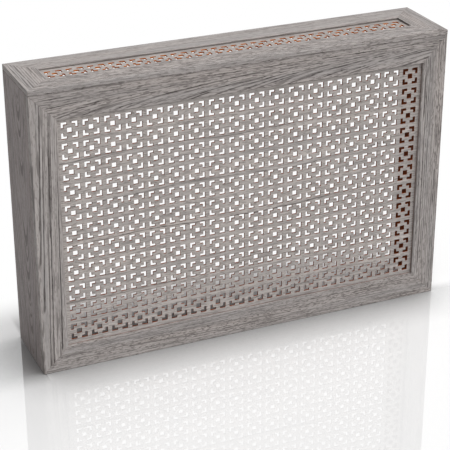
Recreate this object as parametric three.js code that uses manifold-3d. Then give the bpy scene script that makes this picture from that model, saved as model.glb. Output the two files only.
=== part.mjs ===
// Radiator cover cabinet: a perforated front screen and a perforated lid, each a sheet held in a mitred
// frame, on two plain side boards. It is open at the back and underneath, and it stands on the floor.
//
// Millimetres. X runs along the width, Y from the front to the wall, Z up. The origin is on the floor, in
// the middle of the width and of the depth.

import * as THREE from "three";
import { mergeVertices } from "three/addons/utils/BufferGeometryUtils.js";
import Module from "manifold-3d";

const wasm = await Module();
wasm.setup();

// --- Driving dimensions ---

const cabinet = { width: 900, depth: 168, height: 608 };

// The screen closes the front and the lid closes the top. recess is how far the sheet lies behind the face,
// and angleSlots says whether the sheet has the slots round its square holes.
const screen = { bar: 54, thickness: 16, recess: 7, angleSlots: false };
const lid = { bar: 55, thickness: 11, recess: 4.5, angleSlots: true };

const sideThickness = 10;
const easedEdge = 1; // radius that takes the sharpness off every long edge

const sheetThickness = 3;
const sheetInGroove = 7.7; // how deep the sheet's edge reaches into the frame
const sheetClearance = 0.3; // around the sheet's edge, on each side of it and at its end

// One cell of the perforation: a square hole with four angle-shaped slots round it.
const pattern = {
  pitch: 43.5,
  square: 10, // side of the hole in the middle
  slotOuter: 17, // from the middle of the cell to a slot's outer edge
  slotWidth: 5,
  slotEnd: 5, // from the middle line of the cell to a slot's end
};

const tongue = { length: 30, width: 14, thickness: 3, fromOuterEdge: 24, clearance: 0.3 };

const bracket = { leg: 25, width: 18, thickness: 2, hole: 2.3, holeFromCorner: 15 };
const screw = { shank: 1.75, head: 3.6, headHeight: 2.2, length: 9.5, pilotClearance: 0.3 };

const jointGap = 0.3; // the seam between boards, and the glue line in each mitre
const contactGap = 0.2; // under brackets and screw heads

const bracketFromEnd = 90; // from a side board's end to the middle of a screen bracket
const lidBracketFrom = { front: 44, wall: 22 }; // from the front face and from the wall to a bracket's middle
const lidBracketFromSide = 150; // from a side board to the outer brackets under the lid's front bar
const wallBracketBelowLid = 77; // from the lid's underside to the middle of a wall bracket

const roundSegments = 10; // sides of a hole or a shank
const easedSegments = 2; // flats in an eased edge

// --- Places worked out from them ---

const lidUnderside = cabinet.height - lid.thickness;
const boardHeight = lidUnderside - jointGap;
const frontFace = -cabinet.depth / 2;
const wallPlane = cabinet.depth / 2;
const screenBack = frontFace + screen.thickness;
const sideDepth = wallPlane - screenBack - jointGap;
const sideInner = cabinet.width / 2 - sideThickness;

// --- Materials ---

const wrappedOak = () => new THREE.MeshStandardMaterial({ color: 0x9c9794, roughness: 0.6, metalness: 0 });
const fibreSheet = () => new THREE.MeshStandardMaterial({ color: 0xa19c98, roughness: 0.62, metalness: 0 });
const plywood = () => new THREE.MeshStandardMaterial({ color: 0xc8a677, roughness: 0.75, metalness: 0 });
const zincSteel = () => new THREE.MeshStandardMaterial({ color: 0xb9bcbe, roughness: 0.35, metalness: 1 });

const fourCorners = [[-1, -1], [1, -1], [-1, 1], [1, 1]];

const X = new THREE.Vector3(1, 0, 0);
const Y = new THREE.Vector3(0, 1, 0);
const Z = new THREE.Vector3(0, 0, 1);
const minus = (axis) => axis.clone().negate();

// --- Solids ---

/** A closed geometry as a solid that can be cut. */
function solidOf(geometry) {
  const bare = geometry.index ? geometry.toNonIndexed() : geometry.clone();
  for (const name of Object.keys(bare.attributes)) {
    if (name !== "position") bare.deleteAttribute(name);
  }
  const merged = mergeVertices(bare, 1e-4);
  return new wasm.Manifold(
    new wasm.Mesh({
      numProp: 3,
      vertProperties: merged.attributes.position.array,
      triVerts: new Uint32Array(merged.index.array),
    }),
  );
}

/** The geometry of a solid, with flat faces. */
function geometryOf(solid) {
  const mesh = solid.getMesh();
  const positions = new Float32Array(mesh.numVert * 3);
  for (let i = 0; i < mesh.numVert; i++) {
    positions.set(mesh.vertProperties.subarray(i * mesh.numProp, i * mesh.numProp + 3), i * 3);
  }
  const indexed = new THREE.BufferGeometry();
  indexed.setAttribute("position", new THREE.BufferAttribute(positions, 3));
  indexed.setIndex(new THREE.BufferAttribute(mesh.triVerts, 1));
  const flat = indexed.toNonIndexed();
  flat.computeVertexNormals();
  return flat;
}

/** geometry with each of the cutters taken out of it. */
function cut(geometry, cutters) {
  return geometryOf(cutters.reduce((solid, cutter) => solid.subtract(solidOf(cutter)), solidOf(geometry)));
}

function piece(name, geometry, material) {
  const mesh = new THREE.Mesh(geometry, material);
  mesh.name = name;
  return mesh;
}

/** Puts an object's own x and z axes along two directions, with its origin at a point. */
function place(object, position, xAxis, zAxis) {
  const yAxis = new THREE.Vector3().crossVectors(zAxis, xAxis);
  object.quaternion.setFromRotationMatrix(new THREE.Matrix4().makeBasis(xAxis, yAxis, zAxis));
  object.position.copy(position);
  return object;
}

/** The points of an outline's rounded corner at (x, y), which it reaches along from and leaves along to. */
function easedCorner(x, y, [fromX, fromY], [toX, toY]) {
  const points = [];
  for (let i = 0; i <= easedSegments; i++) {
    const angle = (i / easedSegments) * (Math.PI / 2);
    const before = easedEdge * (1 - Math.sin(angle));
    const after = easedEdge * (1 - Math.cos(angle));
    points.push(new THREE.Vector2(x - fromX * before + toX * after, y - fromY * before + toY * after));
  }
  return points;
}

/** A closed outline through points given as [x, y]. */
function outlineThrough(corners) {
  return new THREE.Shape(corners.map(([x, y]) => new THREE.Vector2(x, y)));
}

// --- Mitred frames with a sheet in them ---

/** A frame bar's section: x from the outer edge to the inner edge, y from the face to the back. */
function barSection({ bar, thickness, recess }) {
  const grooveTop = recess - sheetClearance;
  const grooveBottom = recess + sheetThickness + sheetClearance;
  const grooveEnd = bar - sheetInGroove - sheetClearance;
  return new THREE.Shape([
    ...easedCorner(0, 0, [0, -1], [1, 0]),
    ...easedCorner(bar, 0, [1, 0], [0, 1]),
    new THREE.Vector2(bar, grooveTop),
    new THREE.Vector2(grooveEnd, grooveTop),
    new THREE.Vector2(grooveEnd, grooveBottom),
    new THREE.Vector2(bar, grooveBottom),
    new THREE.Vector2(bar, thickness),
    ...easedCorner(0, thickness, [-1, 0], [0, -1]),
  ]);
}

/** A bar of that section, along z, with both ends mitred: the outer edge is the long one. */
function mitredBar(spec, length) {
  const geometry = new THREE.ExtrudeGeometry(barSection(spec), { depth: length, bevelEnabled: false });
  const position = geometry.attributes.position;
  const halfGlueLine = (jointGap / 2) * Math.SQRT2;
  for (let i = 0; i < position.count; i++) {
    const setBack = position.getX(i) + halfGlueLine;
    position.setZ(i, position.getZ(i) < length / 2 ? setBack : length - setBack);
  }
  return geometry;
}

/** The tongue that locks a mitre: a flat with pointed ends, in the x-y plane, its length along x. */
function tongueGeometry(clearance) {
  const halfLength = tongue.length / 2 + clearance;
  const halfWidth = tongue.width / 2 + clearance;
  const blunt = halfWidth / 3;
  const outline = new THREE.Shape();
  outline.moveTo(-halfLength, -blunt);
  outline.quadraticCurveTo(-halfLength / 2, -halfWidth, 0, -halfWidth);
  outline.quadraticCurveTo(halfLength / 2, -halfWidth, halfLength, -blunt);
  outline.lineTo(halfLength, blunt);
  outline.quadraticCurveTo(halfLength / 2, halfWidth, 0, halfWidth);
  outline.quadraticCurveTo(-halfLength / 2, halfWidth, -halfLength, blunt);
  outline.closePath();
  const depth = tongue.thickness + 2 * clearance;
  const geometry = new THREE.ExtrudeGeometry(outline, { depth, bevelEnabled: false, curveSegments: 3 });
  return geometry.translate(0, 0, -depth / 2);
}

/** The slots for the tongues in a bar's two mitres, in the bar's own frame. */
function tongueSlots({ thickness }, length) {
  const across = tongue.fromOuterEdge;
  return [1, -1].map((end) => {
    const slot = new THREE.Object3D();
    const middle = end > 0 ? across : length - across;
    const alongMitre = new THREE.Vector3(1, 0, end).normalize();
    place(slot, new THREE.Vector3(across, thickness / 2, middle), alongMitre, Y);
    slot.updateMatrix();
    return tongueGeometry(tongue.clearance).applyMatrix4(slot.matrix);
  });
}

/** The cutter for the square hole in the middle of a cell. */
function squareCutter(x, y) {
  const { square } = pattern;
  return new THREE.BoxGeometry(square, square, 3 * sheetThickness).translate(x, y, -sheetThickness / 2);
}

/** The cutter for the angle-shaped slot in one corner of a cell; towardsX and towardsY are 1 or -1. */
function slotCutter(x, y, towardsX, towardsY) {
  const { slotOuter, slotWidth, slotEnd } = pattern;
  const slotInner = slotOuter - slotWidth;
  const outline = outlineThrough([
    [slotEnd, slotOuter],
    [slotEnd, slotInner],
    [slotInner, slotInner],
    [slotInner, slotEnd],
    [slotOuter, slotEnd],
    [slotOuter, slotOuter],
  ]);
  const cutter = new THREE.ExtrudeGeometry(outline, { depth: 3 * sheetThickness, bevelEnabled: false });
  cutter.rotateZ(Math.atan2(towardsY, towardsX) - Math.PI / 4);
  return cutter.translate(x, y, -2 * sheetThickness);
}

/** The perforated sheet, its face up at z 0. The cells fill the opening and are centred in it. */
function perforatedSheet(openingWidth, openingHeight, angleSlots) {
  const reach = 2 * sheetInGroove;
  const sheet = new THREE.BoxGeometry(openingWidth + reach, openingHeight + reach, sheetThickness);
  const columns = Math.floor(openingWidth / pattern.pitch);
  const rows = Math.floor(openingHeight / pattern.pitch);
  const cutters = [];
  for (let column = 0; column < columns; column++) {
    for (let row = 0; row < rows; row++) {
      const x = (column - (columns - 1) / 2) * pattern.pitch;
      const y = (row - (rows - 1) / 2) * pattern.pitch;
      cutters.push(squareCutter(x, y));
      if (!angleSlots) continue;
      for (const [towardsX, towardsY] of fourCorners) cutters.push(slotCutter(x, y, towardsX, towardsY));
    }
  }
  return cut(sheet.translate(0, 0, -sheetThickness / 2), cutters);
}

/**
 * A frame of four mitred bars round a perforated sheet, face up at z 0 and centred on the origin.
 * The bars' names go lower (-y), upper (+y), left (-x), right (+x).
 */
function framedSheet(name, spec, width, height, barNames) {
  const frame = new THREE.Group();
  const [lower, upper, left, right] = barNames;
  const bars = [
    [lower, width, width / 2, -height / 2, Y],
    [upper, width, -width / 2, height / 2, minus(Y)],
    [left, height, -width / 2, -height / 2, X],
    [right, height, width / 2, height / 2, minus(X)],
  ];
  for (const [barName, length, x, y, inwards] of bars) {
    const geometry = cut(mitredBar(spec, length), tongueSlots(spec, length));
    const along = new THREE.Vector3().crossVectors(inwards, minus(Z));
    frame.add(place(piece(barName, geometry, wrappedOak()), new THREE.Vector3(x, y, 0), inwards, along));
  }

  const sheet = perforatedSheet(width - 2 * spec.bar, height - 2 * spec.bar, spec.angleSlots);
  const sheetMesh = piece(`${name}_perforated_sheet`, sheet, fibreSheet());
  sheetMesh.position.z = -spec.recess;
  frame.add(sheetMesh);

  fourCorners.forEach(([towardsX, towardsY], i) => {
    const mesh = piece(`${name}_mitre_tongue_${i + 1}`, tongueGeometry(0), plywood());
    const x = towardsX * (width / 2 - tongue.fromOuterEdge);
    const y = towardsY * (height / 2 - tongue.fromOuterEdge);
    const alongMitre = new THREE.Vector3(towardsX, towardsY, 0).normalize();
    frame.add(place(mesh, new THREE.Vector3(x, y, -spec.thickness / 2), alongMitre, Z));
  });
  return frame;
}

// --- Side boards ---

/** A plain board that stands on the floor, its long edges eased, centred on its own x and y. */
function sideBoard(name) {
  const x = sideThickness / 2;
  const y = sideDepth / 2;
  const section = new THREE.Shape([
    ...easedCorner(x, -y, [1, 0], [0, 1]),
    ...easedCorner(x, y, [0, 1], [-1, 0]),
    ...easedCorner(-x, y, [-1, 0], [0, -1]),
    ...easedCorner(-x, -y, [0, -1], [1, 0]),
  ]);
  const geometry = new THREE.ExtrudeGeometry(section, { depth: boardHeight, bevelEnabled: false });
  return piece(name, geometry, wrappedOak());
}

// --- Brackets and screws ---

/** A round bar along z, from z 0 down to -length. */
function roundBar(radius, length) {
  return new THREE.CylinderGeometry(radius, radius, length, roundSegments)
    .rotateX(Math.PI / 2)
    .translate(0, 0, -length / 2);
}

/** An angle bracket in the corner of the planes z 0 and x 0, a hole in each leg, its width along y. */
function bracketGeometry() {
  const { leg, thickness, width, hole, holeFromCorner } = bracket;
  const section = outlineThrough([
    [0, 0],
    [leg, 0],
    [leg, thickness],
    [thickness, thickness],
    [thickness, leg],
    [0, leg],
  ]);
  const angle = new THREE.ExtrudeGeometry(section, { depth: width, bevelEnabled: false })
    .translate(0, 0, -width / 2)
    .rotateX(Math.PI / 2);
  const drill = roundBar(hole, 3 * thickness);
  const throughLying = drill.clone().translate(holeFromCorner, 0, 2 * thickness);
  const throughStanding = drill.clone().rotateY(Math.PI / 2).translate(2 * thickness, 0, holeFromCorner);
  return cut(angle, [throughLying, throughStanding]);
}

/** A pan-head screw, driven along -z, with the underside of its head at z 0. */
function screwGeometry() {
  const { shank, head, headHeight, length } = screw;
  const tip = 2 * shank;
  const outline = [
    [0, -length],
    [shank, tip - length],
    [shank, 0],
    [head, 0],
    [head, headHeight / 2],
    [head * 0.6, headHeight],
    [0, headHeight],
  ];
  const points = outline.map(([radius, z]) => new THREE.Vector2(radius, z));
  return new THREE.LatheGeometry(points, roundSegments).rotateX(Math.PI / 2);
}

/**
 * A bracket with its screws. lyingAlong is the direction of its lying leg and standingAlong that of its
 * standing leg, from a corner at a point. screwedLegs lists the legs that have a screw.
 */
function fixedBracket(name, corner, lyingAlong, standingAlong, screwedLegs) {
  const group = place(new THREE.Group(), corner, lyingAlong, standingAlong);
  const angle = piece(name, bracketGeometry(), zincSteel());
  angle.position.set(contactGap, 0, contactGap);
  group.add(angle);
  const seat = contactGap + bracket.thickness + contactGap;
  const along = contactGap + bracket.holeFromCorner;
  if (screwedLegs.includes("lying")) {
    const lying = piece(`${name}_screw_a`, screwGeometry(), zincSteel());
    group.add(place(lying, new THREE.Vector3(along, 0, seat), X, Z));
  }
  if (screwedLegs.includes("standing")) {
    const standing = piece(`${name}_screw_b`, screwGeometry(), zincSteel());
    group.add(place(standing, new THREE.Vector3(seat, 0, along), minus(Z), X));
  }
  return group;
}

/** Takes the screws' pilot holes out of the boards, wherever a screw runs into one. */
function drillPilotHoles(assembly) {
  assembly.updateMatrixWorld(true);
  const screws = [];
  const boards = [];
  assembly.traverse((object) => {
    if (!object.isMesh) return;
    if (object.name.includes("_screw_")) screws.push(object);
    else if (object.material.metalness === 0) boards.push(object);
  });
  const radius = screw.shank + screw.pilotClearance;
  const pilot = roundBar(radius, screw.length + screw.pilotClearance);
  for (const board of boards) {
    const toBoard = board.matrixWorld.clone().invert();
    const outer = new THREE.Box3().setFromObject(board);
    const here = screws.filter((each) => outer.intersectsBox(new THREE.Box3().setFromObject(each)));
    if (!here.length) continue;
    const cutters = here.map((each) =>
      pilot.clone().applyMatrix4(toBoard.clone().multiply(each.matrixWorld)),
    );
    board.geometry = cut(board.geometry, cutters);
  }
}

// --- The cabinet ---

function frontScreen() {
  const names = ["screen_bottom_rail", "screen_top_rail", "screen_left_stile", "screen_right_stile"];
  const group = framedSheet("screen", screen, cabinet.width, boardHeight, names);
  return place(group, new THREE.Vector3(0, frontFace, boardHeight / 2), X, minus(Y));
}

function topLid() {
  const names = ["lid_front_bar", "lid_back_bar", "lid_left_bar", "lid_right_bar"];
  const group = framedSheet("lid", lid, cabinet.width, cabinet.depth, names);
  group.position.z = cabinet.height;
  return group;
}

function sideBoards() {
  const group = new THREE.Group();
  for (const [name, side] of [["left_side_board", -1], ["right_side_board", 1]]) {
    const board = sideBoard(name);
    board.position.set(side * (sideInner + sideThickness / 2), wallPlane - sideDepth / 2, 0);
    group.add(board);
  }
  return group;
}

function brackets() {
  const group = new THREE.Group();
  const both = ["lying", "standing"];
  const down = minus(Z);
  for (const [side, towards] of [["left", -1], ["right", 1]]) {
    const x = towards * sideInner;
    const inwards = towards < 0 ? X : minus(X);
    for (const [level, z] of [["low", bracketFromEnd], ["high", boardHeight - bracketFromEnd]]) {
      const corner = new THREE.Vector3(x, screenBack, z);
      group.add(fixedBracket(`${side}_screen_bracket_${level}`, corner, inwards, Y, both));
    }
    const alongSide = [["front", frontFace + lidBracketFrom.front], ["back", wallPlane - lidBracketFrom.wall]];
    for (const [end, y] of alongSide) {
      const corner = new THREE.Vector3(x, y, lidUnderside);
      group.add(fixedBracket(`${side}_lid_bracket_${end}`, corner, inwards, down, both));
    }
    const wallCorner = new THREE.Vector3(x, wallPlane + contactGap, lidUnderside - wallBracketBelowLid);
    group.add(fixedBracket(`${side}_wall_bracket`, wallCorner, inwards, minus(Y), ["standing"]));
  }
  const outer = sideInner - lidBracketFromSide;
  for (const [name, x] of [["left", -outer], ["middle", 0], ["right", outer]]) {
    const corner = new THREE.Vector3(x, screenBack, lidUnderside);
    group.add(fixedBracket(`${name}_front_bracket`, corner, Y, down, both));
  }
  return group;
}

const radiatorCover = new THREE.Group();
radiatorCover.name = "radiator_cover_cabinet";
radiatorCover.add(frontScreen(), topLid(), sideBoards(), brackets());
drillPilotHoles(radiatorCover);

export default radiatorCover;
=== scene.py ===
"""Looks of the radiator cover cabinet: a perforated screen and lid in mitred frames, on two side boards.

Metres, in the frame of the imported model: x runs along the width, y from the front to the wall, z up.
"""

import logging
import math
from dataclasses import dataclass
from enum import Enum
from typing import Any, Callable, Iterable, Optional, Sequence, Union

import bmesh
import bpy
from mathutils import Matrix, Vector


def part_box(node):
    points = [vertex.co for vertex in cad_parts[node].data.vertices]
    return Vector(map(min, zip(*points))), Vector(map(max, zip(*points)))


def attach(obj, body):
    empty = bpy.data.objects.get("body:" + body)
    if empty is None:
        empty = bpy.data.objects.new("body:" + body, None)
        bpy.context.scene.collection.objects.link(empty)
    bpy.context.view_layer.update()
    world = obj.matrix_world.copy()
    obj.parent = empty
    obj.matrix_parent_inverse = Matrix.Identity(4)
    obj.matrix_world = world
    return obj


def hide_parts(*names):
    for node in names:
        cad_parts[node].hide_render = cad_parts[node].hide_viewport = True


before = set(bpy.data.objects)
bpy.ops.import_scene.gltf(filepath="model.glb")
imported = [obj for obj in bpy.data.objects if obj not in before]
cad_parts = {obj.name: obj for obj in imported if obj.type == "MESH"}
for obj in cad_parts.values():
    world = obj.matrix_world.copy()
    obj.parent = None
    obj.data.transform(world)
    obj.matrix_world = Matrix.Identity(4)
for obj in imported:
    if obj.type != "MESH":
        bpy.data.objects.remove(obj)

BODY = "root"
GRAIN_MAP = "grain"
MM = 0.001
RIGHT, BACK, UP = Vector((1, 0, 0)), Vector((0, 1, 0)), Vector((0, 0, 1))

Colour = tuple[float, float, float]
Point = tuple[float, float]
Range = tuple[float, float]
Item, Mesh, Material = bpy.types.Object, bpy.types.Mesh, bpy.types.Material
Vert, Edge, Face = bmesh.types.BMVert, bmesh.types.BMEdge, bmesh.types.BMFace

log = logging.getLogger("radiator_cover")


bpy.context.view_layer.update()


def level(red: float, green: float, blue: float) -> Colour:
    """A colour written in screen levels of 0 to 255, as linear values."""
    parts = (red / 255, green / 255, blue / 255)
    return tuple(part / 12.92 if part <= 0.04045 else ((part + 0.055) / 1.055) ** 2.4 for part in parts)


WHITE = level(255, 255, 255)


# --- Shader building ---


def arithmetic(operation: str) -> tuple[Callable[..., "Socket"], Callable[..., "Socket"]]:
    """A Python operator that adds one Math node.

    Args:
        operation: The node's operation.

    Returns:
        The operator's method, and the one of its reflected form.
    """

    def straight(socket: "Socket", other: "Value") -> "Socket":
        """The result for a socket and a value."""
        return socket.math(operation, socket, other)

    def reflected(socket: "Socket", other: "Value") -> "Socket":
        """The result for a value and a socket."""
        return socket.math(operation, other, socket)

    return straight, reflected


class Socket:
    """An output socket that can be used in arithmetic, which adds Math nodes."""

    __add__, __radd__ = arithmetic("ADD")
    __sub__, __rsub__ = arithmetic("SUBTRACT")
    __mul__, __rmul__ = arithmetic("MULTIPLY")
    __truediv__, __rtruediv__ = arithmetic("DIVIDE")
    __pow__, __rpow__ = arithmetic("POWER")

    def __init__(self, nodes: "NodeBuilder", output: Optional[bpy.types.NodeSocket]) -> None:
        """Keeps the output, and the builder that it came from."""
        self.nodes, self.output = nodes, output

    def math(self, operation: str, *values: "Value", clamp: bool = False) -> "Socket":
        """One Math node with its values in order, and its result kept between 0 and 1 if clamped."""
        settings = {"operation": operation, "use_clamp": clamp}
        return self.nodes.add("ShaderNodeMath", settings, dict(enumerate(values)))

    def sqrt(self) -> "Socket":
        """The square root."""
        return self.math("SQRT", self)

    def floor(self) -> "Socket":
        """The whole number below."""
        return self.math("FLOOR", self)

    def absolute(self) -> "Socket":
        """The value without its sign."""
        return self.math("ABSOLUTE", self)

    def clamped(self) -> "Socket":
        """The value kept between 0 and 1."""
        return self.math("ADD", self, 0.0, clamp=True)

    def largest(self, other: "Value") -> "Socket":
        """The larger of two values."""
        return self.math("MAXIMUM", self, other)

    def ramp(self, low: float, high: float) -> "Socket":
        """A smooth step from 0, up to the low value, to 1, from the high value."""
        values = {"Value": self, "From Min": low, "From Max": high}
        return self.nodes.add("ShaderNodeMapRange", {"interpolation_type": "SMOOTHSTEP"}, values)


Value = Union[float, Socket]


class NodeBuilder:
    """Adds nodes to one node tree."""

    def __init__(self, tree: bpy.types.NodeTree) -> None:
        """Empties the tree."""
        self.tree = tree
        tree.nodes.clear()

    def add(
        self,
        kind: str,
        settings: Optional[dict[str, Any]] = None,
        sockets: Optional[dict[Union[str, int], Any]] = None,
        result: Union[str, int] = 0,
    ) -> Socket:
        """Adds one node.

        Args:
            kind: The node's type.
            settings: Its settings, which are made before any input.
            sockets: Values or links of its inputs, by name or number.
            result: The output that is handed back.

        Returns:
            The chosen output.
        """
        node = self.tree.nodes.new(kind)
        for name, value in (settings or {}).items():
            setattr(node, name, value)
        for name, value in (sockets or {}).items():
            if isinstance(value, Socket):
                self.tree.links.new(value.output, node.inputs[name])
            else:
                plain_colour = node.inputs[name].type == "RGBA" and len(value) == 3
                node.inputs[name].default_value = (*value, 1.0) if plain_colour else value
        return Socket(self, node.outputs[result] if len(node.outputs) else None)

    def vector(self, x: Value, y: Value, z: Value) -> Socket:
        """A vector from its three parts."""
        return self.add("ShaderNodeCombineXYZ", sockets={"X": x, "Y": y, "Z": z})

    def parts(self, vector: Socket) -> tuple[Socket, Socket, Socket]:
        """The three parts of a vector."""
        node = self.add("ShaderNodeSeparateXYZ", sockets={0: vector}).output.node
        return tuple(Socket(self, output) for output in node.outputs)

    def noise(self, place: Socket, detail: float, scale: float = 1.0, rough: float = 0.5) -> Socket:
        """Noise round 0.5, by its number of finer layers, its features in a metre and how rough it is."""
        values = {"Vector": place, "Scale": scale, "Detail": detail, "Roughness": rough}
        return self.add("ShaderNodeTexNoise", None, values)

    def mix(self, amount: Value, first: Any, second: Any) -> Socket:
        """The first colour with an amount of the second in it."""
        settings = {"data_type": "RGBA", "clamp_factor": True}
        return self.add("ShaderNodeMix", settings, {0: amount, 6: first, 7: second}, result=2)

    def scaled(self, colour: Any, amount: Value) -> Socket:
        """A colour made lighter or darker by a factor."""
        return self.add("ShaderNodeVectorMath", {"operation": "SCALE"}, {"Vector": colour, "Scale": amount})


class Finish(NodeBuilder):
    """A material whose Principled shader takes what the other nodes give it."""

    def __init__(self, name: str) -> None:
        """Starts the material.

        Args:
            name: Its name.
        """
        self.material = bpy.data.materials.new(name)
        self.material.use_nodes = True
        super().__init__(self.material.node_tree)

    def place(self) -> Socket:
        """The point on the piece, in metres."""
        return self.add("ShaderNodeTexCoord", result="Object")

    def relief(self, height: Socket, distance: float, strength: float) -> Socket:
        """A normal bumped by a height of 0 to 1, which is the distance high, and shows by the strength."""
        values = {"Height": height, "Distance": distance, "Strength": strength}
        return self.add("ShaderNodeBump", None, values)

    def close(self, **sockets: Any) -> Material:
        """The material with its shader, whose inputs are named with _ for a space."""
        values = {name.replace("_", " "): value for name, value in sockets.items()}
        return self.shown(self.add("ShaderNodeBsdfPrincipled", None, values))

    def shown(self, surface: Socket) -> Material:
        """The material, which shows a shader."""
        self.add("ShaderNodeOutputMaterial", None, {"Surface": surface})
        return self.material


# --- Finishes ---


@dataclass(frozen=True)
class Rings:
    """Growth rings, as a plain cut beside the heart of a tapering log shows them.

    A ring's line leaves the axis of the figure where the log is thin and bends until it runs almost along
    the board, and the lines crowd where they come near the gathering distance. Further from the axis than
    the plain distance the lines run along the board. Without a depth they are straight all over.
    """

    axis: float = -20 * MM
    depth: float = 0.0
    taper: float = 0.004
    spacing: float = 5 * MM
    strength: float = 0.3
    bold: float = 1.1
    beyond: float = 1.0
    gather: float = 1.0
    plain: float = 1.0

    def course(self, along: float, across: float) -> float:
        """The number, in metres, that stays the same all along the line through a point."""
        reach = abs(across - self.axis)
        return math.hypot(reach, self.depth) + reach * (reach / self.gather) ** 3 - along * self.taper


@dataclass(frozen=True)
class Stroke:
    """One bold line of the figure, which starts at a point of the board and follows the rings."""

    along: float
    across: float
    length: float
    width: float
    strength: float


def strokes(*rows: tuple[float, float, float, float, float]) -> tuple[Stroke, ...]:
    """Strokes, each from its start along and across, length, width in millimetres, and strength."""
    return tuple(Stroke(u, v, length, width * MM, strength) for u, v, length, width, strength in rows)


@dataclass(frozen=True)
class Grain:
    """The figure on one board: rings, bold strokes, threads, broad bands and fine pores."""

    seed: float
    rings: Rings = Rings()
    strokes: tuple[Stroke, ...] = ()
    fine: float = 0.55
    broad: float = 0.25
    bands: float = 0.25
    threads: float = 0.5
    pores: float = 0.5
    pore_size: float = 1.0
    wander: float = 4 * MM
    ragged: float = 0.6
    tone: float = 1.0


@dataclass(frozen=True)
class Streaks:
    """Noise drawn out along the grain: its features in a metre along and across, and where it is read."""

    along: float
    across: float
    shift: float = 0.0
    detail: float = 1.0
    rough: float = 0.5


class BoardFinish(Finish):
    """A finish with the distances along the grain and across it, from the map that the boards carry."""

    def __init__(self, name: str, seed: float) -> None:
        """Starts the material and reads the map.

        Args:
            name: Its name.
            seed: Where this board's noises are read.
        """
        super().__init__(name)
        self.seed = seed
        self.along, self.across, _ = self.parts(self.add("ShaderNodeUVMap", {"uv_map": GRAIN_MAP}))

    def streaks(self, kind: Streaks, across: Socket, size: float = 1.0) -> Socket:
        """Streaks of a kind along the grain, by the place across it and how much they are enlarged."""
        x, y = self.along * (kind.along / size), across * (kind.across / size)
        return self.noise(self.vector(x, y, self.seed + kind.shift), kind.detail, rough=kind.rough)


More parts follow.
